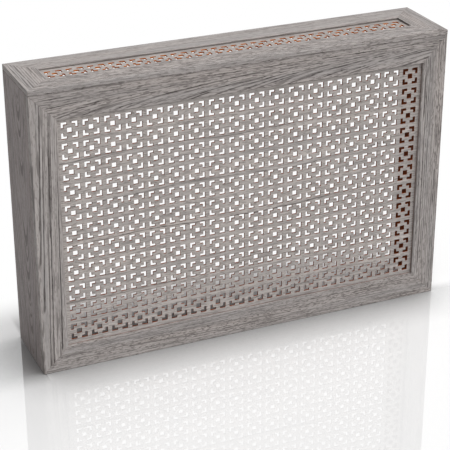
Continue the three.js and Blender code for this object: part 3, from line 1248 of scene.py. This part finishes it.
@dataclass
class AngleBrackets(Assembly):
    """Bent zinc-plated angles, each held by pan-head screws with a cross recess."""

    zinc: Material
    leg: float = 25 * MM
    width: float = 18 * MM
    thickness: float = 2 * MM
    outer_bend: float = 3 * MM
    bend_steps: int = 6
    corner_radius: float = 3 * MM
    corner_steps: int = 5
    hole_radius: float = 2.3 * MM
    hole_from_corner: float = 15 * MM
    contact_gap: float = 0.2 * MM
    burr: float = 0.25 * MM
    shank: float = 1.75 * MM
    core: float = 1.2 * MM
    thread_pitch: float = 1.5 * MM
    thread_steps: int = 6
    screw_length: float = 9.5 * MM
    tip_length: float = 3.5 * MM
    tip_size: float = 0.04
    head: float = 3.6 * MM
    head_height: float = 2.2 * MM
    recess_depth: float = 0.62
    recess_arm: float = 0.55
    recess_width: float = 0.13
    recess_taper: Range = (0.62, 1.15)
    round_steps: int = 20

    def plate(self) -> list[Point]:
        """One leg laid flat, from the bend to its rounded end: along from the bend, and across.

        Returns:
            The outline.
        """
        reach, half = self.leg - self.outer_bend, self.width / 2
        corners = [(0.0, -half), (reach, -half), (reach, half), (0.0, half)]
        points = [corners[0]]
        for i in (1, 2):
            points += eased(*corners[i - 1 : i + 2], self.corner_radius, self.corner_steps)
        return [*points, corners[3]]

    def angle_mesh(self, corner: Vector, lying: Vector, standing: Vector) -> Mesh:
        """The outer skin of the bent angle, which a modifier thickens.

        Args:
            corner: The corner that the two legs' outer faces would meet in.
            lying: Direction of the lying leg.
            standing: Direction of the standing leg.

        Returns:
            The mesh.
        """
        draft = Draft()
        shape = draft.shape
        sideways = standing.cross(lying)
        bend = self.outer_bend
        middle = self.hole_from_corner - bend
        hole = [(middle + along, across) for along, across in circle([self.hole_radius] * self.round_steps)]
        bend_rows = []
        for leg in (lying, standing):
            lines = [
                draft.points(corner + leg * (bend + along) + sideways * across for along, across in outline)
                for outline in (self.plate(), hole)
            ]
            edges = [edge for line in lines for edge in draft.closed(line)]
            bmesh.ops.triangle_fill(shape, use_beauty=True, edges=edges)
            bend_rows.append((lines[0][0], lines[0][-1]))
        rows = [bend_rows[0]]
        for i in range(1, self.bend_steps):
            turn = math.pi / 2 * i / self.bend_steps
            spot = corner + lying * (bend - bend * math.sin(turn))
            spot = spot + standing * (bend - bend * math.cos(turn))
            rows.append(tuple(draft.points(spot + sideways * (s * self.width / 2) for s in (-1, 1))))
        rows.append(bend_rows[1])
        for (a, b), (c, d) in zip(rows, rows[1:]):
            shape.faces.new((a, b, d, c))
        draft.turned_out()
        flat = max(shape.faces, key=lambda face: abs(face.normal.dot(standing)) * face.calc_area())
        if flat.normal.dot(standing) > 0:
            bmesh.ops.reverse_faces(shape, faces=shape.faces)
        return draft.finished("angle")

    def build_angle(self, node: str, corner: Vector, lying: Vector, standing: Vector) -> None:
        """Makes and dresses one angle.

        Args:
            node: The node that it stands for.
            corner: The corner between the two boards' faces, less the gap.
            lying: Direction of the lying leg.
            standing: Direction of the standing leg.
        """
        mesh = self.angle_mesh(corner, lying, standing)
        piece = self.make(node, "plate", mesh, [self.zinc], "zinc_steel")
        modify(piece, "SOLIDIFY", thickness=self.thickness, offset=-1, use_even_offset=True)
        limit = math.radians(50)
        modify(piece, "BEVEL", width=self.burr, segments=2, limit_method="ANGLE", angle_limit=limit)
        applied(piece)
        soften(piece, 40.0)

    def screw_mesh(self) -> Mesh:
        """A pan-head screw driven along -z, with the underside of its head at height 0.

        Returns:
            The mesh.
        """
        draft = Draft()
        steps = self.round_steps
        crown = ((0.42, 1.0), (0.7, 0.93), (0.88, 0.76), (0.97, 0.5), (1.0, 0.22), (0.96, 0.0))
        profile = [(radius * self.head, height * self.head_height) for radius, height in crown]
        profile.append((self.shank, 0.0))
        rings = [draft.ring(circle([radius] * steps), height) for radius, height in profile]
        rows = math.ceil(self.screw_length / self.thread_pitch * self.thread_steps)
        for row in range(1, rows + 1):
            height = -self.screw_length * row / rows
            taper = min(1.0, (self.screw_length + height) / self.tip_length + self.tip_size)
            radii = []
            for i in range(steps):
                phase = (height / self.thread_pitch + i / steps) % 1.0
                ridge = max(0.0, 1 - abs(phase - 0.5) * 4)
                radii.append((self.core + (self.shank - self.core) * ridge) * taper)
            rings.append(draft.ring(circle(radii), height))
        for upper, lower in zip(rings, rings[1:]):
            draft.band(upper, lower)
        draft.shape.faces.new(rings[0])
        draft.shape.faces.new(rings[-1])
        blank = linked("blank", draft.turned_out().finished("screw"))
        cut(blank, [self.recess()], use_self=True)
        mesh = blank.data
        bpy.data.objects.remove(blank)
        return mesh

    def recess(self) -> Item:
        """The cross that is cut into a screw's head, narrower at its bottom.

        Returns:
            The object that cuts.
        """
        draft = Draft()
        top = self.head_height
        arm, width = self.recess_arm * self.head, self.recess_width * self.head
        for wide, long in ((width, arm), (arm, width)):
            for vert in bmesh.ops.create_cube(draft.shape, size=2.0)["verts"]:
                x, y, z = vert.co
                side = self.recess_taper[z > 0]
                height = top + (0.4 * MM if z > 0 else -self.recess_depth * top)
                vert.co = (x * wide * side, y * long * side, height)
        return linked("recess", draft.finished("recess"))

    @staticmethod
    def layout() -> list[tuple[str, Vector, Vector, tuple[Leg, ...]]]:
        """The angles: node, directions of the lying and of the standing leg, and the legs with a screw.

        Returns:
            One entry for each angle.
        """
        both = (Leg.LYING, Leg.STANDING)
        angles: list[tuple[str, Vector, Vector, tuple[Leg, ...]]] = []
        for side, inwards in (("left", RIGHT), ("right", -RIGHT)):
            angles += [(f"{side}_screen_bracket_{end}", inwards, BACK, both) for end in ("low", "high")]
            angles += [(f"{side}_lid_bracket_{end}", inwards, -UP, both) for end in ("front", "back")]
            angles.append((f"{side}_wall_bracket", inwards, -BACK, (Leg.STANDING,)))
        return angles + [(f"{name}_front_bracket", BACK, -UP, both) for name in ("left", "middle", "right")]

    def build(self) -> None:
        """Makes and dresses every angle and its screws."""
        screw = self.screw_mesh()
        for node, lying, standing, legs in self.layout():
            low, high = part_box(node)
            towards = lying + standing
            corner = (low + high) / 2
            for i in range(3):
                if abs(towards[i]) > 0.5:
                    corner[i] = low[i] if towards[i] > 0 else high[i]
            self.build_angle(node, corner, lying, standing)
            for leg in legs:
                along, off = (lying, standing) if leg is Leg.LYING else (standing, lying)
                seat = corner + along * self.hole_from_corner + off * (self.thickness + self.contact_gap)
                turned = off.to_track_quat("Z", "Y").to_matrix().to_4x4()
                mesh = screw.copy()
                mesh.transform(Matrix.Translation(seat) @ turned)
                piece = self.make(f"{node}_screw_{leg.value}", "pan_head", mesh, [self.zinc], "zinc_steel")
                soften(piece, 38.0)
        bpy.data.meshes.remove(screw)


# --- Camera, floor and light ---


@dataclass
class Studio:
    """The camera, the pale glossy floor and the soft light."""

    camera_place: Vector = Vector((-1.1748, -2.6706, 1.6031))
    camera_right: Vector = Vector((0.91690, -0.39912, -0.00196))
    camera_back: Vector = Vector((-0.35948, -0.82795, 0.43044))
    sensor: float = 36.0
    lens: float = 122.47
    sun_from: Vector = Vector((0.45, -0.53, 1.0))
    sun_strength: float = 3.4
    sun_angle: float = 100.0
    ambient: float = 0.2
    floor_colour: Colour = level(244, 244, 244)
    floor_bounce: Colour = level(140, 140, 140)
    matt_colour: Colour = level(250, 250, 250)
    floor_index: float = 2.25
    gloss_end: Range = (-80 * MM, -78 * MM)
    # Painted contact shade in front of the cabinet, and a painted shadow behind and beneath it that leans
    # to the left:
    shadow_lean: float = 0.035
    contact_shade_reach: float = 0.13
    contact_shade_power: float = 1.4
    contact_shade_front: Range = (0.05, 0.09)
    shadow_side_end: Range = (440 * MM, 450 * MM)
    shadow_behind_fade: Range = (0.0, 0.19)
    shadow_behind_strength: float = 0.82
    shadow_fade_right: Range = (-0.05, 0.44)
    clear_behind: Range = (0.12, 0.25)
    clear_around: Range = (1.0, 2.2)
    # The mirror beside the left end, whose base colour carries painted shade from occlusion:
    beside_colour: Colour = level(216, 216, 216)
    beside_index: float = 3.4
    beside_shade_power: float = 2.1
    beside_start: Range = (444 * MM, 446 * MM)
    beside_end: Range = (0.58, 0.85)
    beside_front: Range = (-0.13, -0.07)
    beside_back: Range = (0.04, 0.14)
    floor_half: float = 40.0
    floor_drop: float = 0.3 * MM

    def build(self) -> None:
        """Makes the camera, the light and the floor."""
        self.build_camera()
        self.build_light()
        self.build_floor()

    def build_camera(self) -> None:
        """Puts the camera where the photograph was taken from."""
        data = bpy.data.cameras.new("camera")
        data.sensor_width = self.sensor
        data.lens = self.lens
        camera = linked("camera", data)
        up = self.camera_back.cross(self.camera_right)
        axes = Matrix((self.camera_right, up, self.camera_back)).transposed()
        camera.matrix_world = Matrix.Translation(self.camera_place) @ axes.to_4x4()
        bpy.context.scene.camera = camera

    @staticmethod
    def _seen(nodes: NodeBuilder) -> Socket:
        """What the camera sees, as against what lights the object.

        Args:
            nodes: The tree that gets the nodes.

        Returns:
            1 for what it sees directly, in a mirror or through glass, and 0 for the rest.
        """
        path = nodes.add("ShaderNodeLightPath").output.node.outputs
        rays = ("Is Camera Ray", "Is Glossy Ray", "Is Transmission Ray")
        camera, glossy, through = (Socket(nodes, path[name]) for name in rays)
        return camera.largest(glossy).largest(through)

    def build_light(self) -> None:
        """One high soft lamp from the front and the right, and an even white surround."""
        lamp = bpy.data.lights.new("high_lamp", "SUN")
        lamp.energy = self.sun_strength
        lamp.angle = math.radians(self.sun_angle)
        linked("high_lamp", lamp).rotation_euler = self.sun_from.to_track_quat("Z", "Y").to_euler()
        world = bpy.data.worlds.new("surround")
        bpy.context.scene.world = world
        world.use_nodes = True
        nodes = NodeBuilder(world.node_tree)
        even = nodes.add("ShaderNodeBackground", None, {"Color": WHITE, "Strength": self.ambient})
        bright = nodes.add("ShaderNodeBackground", None, {"Color": WHITE, "Strength": 1.0})
        mixed = nodes.add("ShaderNodeMixShader", None, {0: self._seen(nodes), 1: even, 2: bright})
        nodes.add("ShaderNodeOutputWorld", None, {"Surface": mixed})

    def build_floor(self) -> None:
        """A pale floor with a mirror gloss and painted shade near the cabinet, which turns to plain white
        away from it.
        """
        draft = Draft()
        bmesh.ops.create_grid(draft.shape, x_segments=8, y_segments=8, size=self.floor_half)
        mesh = draft.finished("floor")
        floor = linked("floor", mesh)
        floor.location.z = -self.floor_drop
        mesh.materials.append(self.floor_material())

    def floor_material(self) -> Material:
        """The floor's finish: glossy in front of the cabinet and more so on its left, matt beneath it, with
        painted contact shade, a painted shadow behind it and painted shade in the left mirror.

        Returns:
            The material.
        """
        finish = Finish("pale_floor")
        x, y, _ = finish.parts(finish.place())
        left = 0.0 - x
        seen = self._seen(finish)
        lean = x * self.shadow_lean + y
        clear = (x * x + y * y).sqrt().ramp(*self.clear_around).largest(lean.ramp(*self.clear_behind))
        behind = y.ramp(*self.gloss_end)
        reach = {"Distance": self.contact_shade_reach}
        # Painted contact shade: ambient occlusion darkens the floor's colour in front of the cabinet.
        near = finish.add("ShaderNodeAmbientOcclusion", {"samples": 8}, reach, "AO")
        painted_contact_shade = 1.0 - (0.0 - y).ramp(*self.contact_shade_front) * (1.0 - near**self.contact_shade_power)
        # Painted shadow behind and beneath the cabinet: darker within its width and nearer its back,
        # lighter towards its right end.
        inside = (1.0 - x.absolute().ramp(*self.shadow_side_end)) * (1.0 - x.ramp(*self.shadow_fade_right))
        painted_shadow = 1.0 - inside * (1.0 - lean.ramp(*self.shadow_behind_fade)) * self.shadow_behind_strength
        shaded_floor = finish.scaled(finish.mix(behind, self.floor_colour, self.matt_colour), painted_contact_shade)
        shaded_floor = finish.mix(behind, shaded_floor, finish.scaled(shaded_floor, painted_shadow))
        shade = finish.mix(seen, self.floor_bounce, shaded_floor)
        polish = {"Base Color": shade, "Roughness": 0.0, "IOR": self.floor_index}
        gloss = finish.add("ShaderNodeBsdfPrincipled", None, polish)
        matt = finish.add("ShaderNodeBsdfDiffuse", None, {"Color": shade})
        floor = finish.add("ShaderNodeMixShader", None, {0: behind, 1: gloss, 2: matt})
        # Painted shade: occlusion darkens the base colour of the mirror beside the left end.
        painted_beside_shade = finish.scaled(self.beside_colour, near**self.beside_shade_power)
        polish = {"Base Color": painted_beside_shade, "Roughness": 0.0, "IOR": self.beside_index}
        mirror = finish.add("ShaderNodeBsdfPrincipled", None, polish)
        beside = left.ramp(*self.beside_start) * seen * (1.0 - left.ramp(*self.beside_end))
        beside = beside * y.ramp(*self.beside_front) * (1.0 - y.ramp(*self.beside_back))
        floor = finish.add("ShaderNodeMixShader", None, {0: beside, 1: floor, 2: mirror})
        white = finish.add("ShaderNodeEmission", None, {"Color": WHITE, "Strength": 1.0})
        return finish.shown(finish.add("ShaderNodeMixShader", None, {0: clear * seen, 1: floor, 2: white}))


# --- The cabinet ---


@dataclass
class RadiatorCover:
    """The whole cabinet."""

    foil: OakFoil = OakFoil()
    sheet_foil: OakFoil = OakFoil(body=level(176, 170, 167), warm=level(181, 173, 168))
    side_foil: OakFoil = OakFoil(body=level(164, 155, 154), warm=level(169, 157, 154))
    # The bare board's brown is darker than raw fibreboard: partly its own colour, partly painted shade of
    # the cabinet's inside.
    bare_board: RawFibre = RawFibre(level(142, 68, 30), level(96, 40, 16), level(170, 98, 54))
    # Lit and shaded copies of one bare fibre for the sheets' hole walls: painted shade on the screen's,
    # painted light on the lid's.
    painted_shade_edge: RawFibre = RawFibre(level(128, 60, 20), level(90, 38, 10), level(160, 88, 40))
    painted_light_edge: RawFibre = RawFibre(level(198, 114, 40), level(146, 72, 24), level(218, 146, 80))
    sheet_back: RawFibre = RawFibre(level(148, 84, 50), level(112, 58, 32))
    screen_bar: float = 54 * MM
    screen_thickness: float = 16 * MM
    screen_recess: float = 7 * MM
    lid_bar: float = 55 * MM
    lid_thickness: float = 11 * MM
    lid_recess: float = 4.5 * MM

    def build(self) -> None:
        """Builds every sub-assembly in order."""
        board = self.bare_board.material("bare_board")
        common = {"foil": self.foil, "sheet_foil": self.sheet_foil, "fibre": board}
        common["sheet_back"] = self.sheet_back.material("sheet_back")

        low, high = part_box("screen_bottom_rail")
        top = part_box("screen_top_rail")[1].z
        MitredFrame(
            name="screen",
            origin=low.copy(),
            up=UP,
            facing=-BACK,
            width=high.x - low.x,
            height=top - low.z,
            bar=self.screen_bar,
            thickness=self.screen_thickness,
            recess=self.screen_recess,
            bars=self.screen_grain(),
            sheet_grain=self.sheet_grain(),
            # The screen sheet's hole walls carry painted shade.
            sheet_edge=self.painted_shade_edge.material("painted_shade_edge"),
            **common,
        ).build()

        low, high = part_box("lid_front_bar")
        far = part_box("lid_back_bar")[1].y
        MitredFrame(
            name="lid",
            origin=Vector((low.x, low.y, high.z)),
            up=BACK,
            facing=UP,
            width=high.x - low.x,
            height=far - low.y,
            bar=self.lid_bar,
            thickness=self.lid_thickness,
            recess=self.lid_recess,
            bars=self.lid_grain(),
            sheet_grain=Grain(67.0, pores=0.3, tone=0.91),
            # The lid sheet's hole walls carry painted light.
            sheet_edge=self.painted_light_edge.material("painted_light_edge"),
            bare_lip=0.0,
            **common,
        ).build()

        SideBoards(grains=self.side_grain(), foil=self.side_foil, fibre=board).build()
        AngleBrackets(zinc=ZincPlate().material("zinc_plate")).build()
        self.dress_tongues()

    @staticmethod
    def sheet_grain() -> Grain:
        """The figure of the screen's sheet.

        Returns:
            The figure.
        """
        rows = (
            (-0.02, 0.017, 0.9, 3.2, 0.7),
            (0.0, 0.102, 1.0, 3.0, 0.7),
            (0.0, 0.222, 1.0, 3.4, 1.0),
            (0.0, 0.312, 1.0, 3.0, 0.75),
            (0.0, 0.400, 1.0, 3.0, 0.75),
            (0.0, 0.418, 0.9, 2.4, 0.5),
        )
        rings = Rings(taper=0.02, strength=0.4)
        return Grain(51.0, rings, strokes(*rows), bands=0.3, threads=0.35, pores=0.4, wander=15 * MM)

    @staticmethod
    def screen_grain() -> dict[str, Grain]:
        """The figures of the screen's bars: lower, upper, left, right.

        Returns:
            The figure by the bar's node.
        """
        tips = (
            ((0.030, 0.030, 0.10), (0.052, 0.052, 0.06), (0.103, 0.053, 0.07), (0.108, 0.034, 0.06))
            + ((0.165, 0.053, 0.07), (0.190, 0.053, 0.05), (0.265, 0.037, 0.28), (0.305, 0.054, 0.26))
            + ((0.375, 0.054, 0.20), (0.430, 0.053, 0.20), (0.462, 0.054, 0.12), (0.550, 0.053, 0.06))
            + ((0.612, 0.052, 0.07), (0.672, 0.053, 0.07), (0.775, 0.037, 0.12), (0.808, 0.053, 0.08))
        )
        left = (
            (0.048, 0.041, 0.52, 2.6, 1.0),
            (0.048, 0.041, 0.11, 4.4, 1.0),
            (0.015, 0.022, 0.70, 3.0, 1.0),
            (0.015, 0.015, 0.40, 2.4, 1.0),
            (0.165, 0.009, 0.42, 2.6, 1.0),
            (0.140, 0.008, 0.06, 5.0, 0.9),
            (0.245, 0.006, 0.12, 3.0, 0.9),
            (0.318, 0.008, 0.36, 3.0, 1.0),
            (0.300, 0.028, 0.28, 2.4, 1.0),
            (0.340, 0.034, 0.24, 2.2, 1.0),
        )
        right = (
            (0.080, 0.041, 0.50, 2.6, 1.0),
            (0.130, 0.049, 0.30, 2.4, 0.95),
            (0.420, 0.046, 0.14, 2.4, 1.0),
            (0.060, 0.031, 0.50, 1.8, 0.7),
            (0.220, 0.008, 0.34, 1.8, 0.7),
        )
        arches = Rings(84 * MM, 80 * MM, 0.115, 6 * MM, 1.3, 1.4, gather=98 * MM, plain=68 * MM)
        leaning = Rings(axis=-5 * MM, depth=45 * MM, taper=0.016, spacing=3 * MM, strength=0.5)
        small_pores = {"fine": 0.6, "broad": 0.12, "bands": 0.1, "pores": 0.65, "pore_size": 0.7}
        return {
            "screen_bottom_rail": Grain(3.0, Rings(strength=0.6), tone=0.99, **small_pores),
            "screen_top_rail": Grain(11.0, arches, strokes(*((*tip, 3.2, 1.0) for tip in tips))),
            "screen_left_stile": Grain(
                23.0, leaning, strokes(*left), pores=0.35, wander=2.5 * MM, ragged=0.25, tone=1.01
            ),
            "screen_right_stile": Grain(
                31.0, Rings(strength=1.0), strokes(*right), wander=2 * MM, ragged=0.35, tone=1.03
            ),
        }

    @staticmethod
    def lid_grain() -> dict[str, Grain]:
        """The figures of the lid's bars: lower, upper, left, right.

        Returns:
            The figure by the bar's node.
        """
        leaning = Rings(64 * MM, 24 * MM, 0.13, 5.5 * MM, 1.3, gather=60 * MM, plain=48 * MM)
        starts = (0.06, 0.11, 0.215, 0.265, 0.59, 0.62, 0.72, 0.80, 0.83)
        tips = strokes(*((u, 0.046, 0.07, 3.0, 0.8) for u in starts))
        lines = strokes(*((0.0, 0.006 + 0.0055 * i, 0.4, 1.4, 0.7) for i in range(9)))
        faint = Rings(strength=0.1)
        lined = {"pores": 0.2, "wander": 1 * MM, "ragged": 0.15}
        return {
            "lid_front_bar": Grain(5.0, leaning, tips, fine=0.8, pores=0.6, tone=1.055),
            "lid_back_bar": Grain(9.0, Rings(strength=0.5), threads=0.4, pores=0.35),
            "lid_left_bar": Grain(15.0, faint, lines, tone=0.97, **lined),
            "lid_right_bar": Grain(19.0, faint, lines[3:], tone=0.935, **lined),
        }

    @staticmethod
    def side_grain() -> dict[str, Grain]:
        """The figures of the side boards.

        Returns:
            The figure by the board's node.
        """
        rings = Rings(axis=58 * MM, depth=30 * MM, taper=0.09, spacing=5 * MM, strength=0.28, beyond=0.1)
        starts = (0.038, 0.098, 0.148, 0.178, 0.248, 0.278, 0.338, 0.383, 0.410, 0.458, 0.490, 0.558)
        tips = strokes(*((u, 0.056, 0.045, 4.0, 0.3) for u in starts))
        # A calm figure, and a tone of 0.83 that darkens both side boards: painted shade matched to the
        # shaded left face.
        calm_and_darkened = {"broad": 0.15, "bands": 0.15, "pores": 0.3, "tone": 0.83}
        return {
            "left_side_board": Grain(37.0, rings, tips, **calm_and_darkened),
            "right_side_board": Grain(41.0, rings, tips[::2], **calm_and_darkened),
        }

    @staticmethod
    def dress_tongues() -> None:
        """Gives the hidden mitre tongues, which stay as packed, their plywood."""
        plywood = Plywood().material("birch_plywood")
        for name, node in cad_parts.items():
            if "_tongue_" in name:
                node.data.materials.clear()
                node.data.materials.append(plywood)
                log.info("%s: stays, in plywood", name)


def main() -> None:
    """Builds the scene."""
    logging.basicConfig(level=logging.INFO, format="%(message)s")
    bpy.context.scene.view_settings.view_transform = "Standard"
    Studio().build()
    RadiatorCover().build()
    bpy.context.view_layer.update()


if __name__ == "__main__":
    main()
